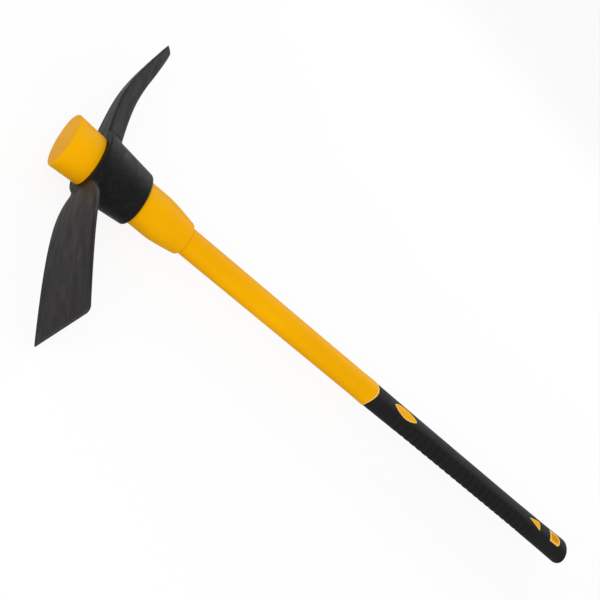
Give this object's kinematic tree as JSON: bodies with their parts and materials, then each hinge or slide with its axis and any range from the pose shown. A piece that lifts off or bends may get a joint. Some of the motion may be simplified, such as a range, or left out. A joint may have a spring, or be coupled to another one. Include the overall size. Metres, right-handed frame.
{
  "type": "mattock",
  "caption": "Pick mattock with a forged black head, adze blade and pick, jammed on the swelled end of a yellow oval fibreglass handle with a black rubber grip.",
  "frame": {"origin": "centre of the cap's flat end face, where the handle's centre line leaves the tool above the head", "axes": "+X along the handle from the cap to the butt, -Y along the adze, +Y along the pick, +Z square to both"},
  "size_m": [0.892, 0.4705, 0.0806],
  "materials": {
    "forged_steel": "thin black lacquer over forged steel, satin",
    "yellow_moulding": "satin moulded plastic",
    "adhesive": "cured adhesive",
    "fibreglass": "pultruded glass fibre rod",
    "yellow_jacket": "satin moulded plastic",
    "grip_rubber": "matt moulded rubber"
  },
  "bodies": {
    "handle": {"eye_swell": "yellow_moulding", "swell_bond": "adhesive", "fibreglass_core": "fibreglass", "shaft_jacket": "yellow_jacket", "grip_sleeve": "grip_rubber"},
    "head": {"mattock_head": "forged_steel"}
  },
  "joints": [
    {"name": "head_slide", "type": "slide", "parent": "handle", "child": "head", "axis": [1, 0, 0], "range_m": [0, 0.86]}
  ]
}
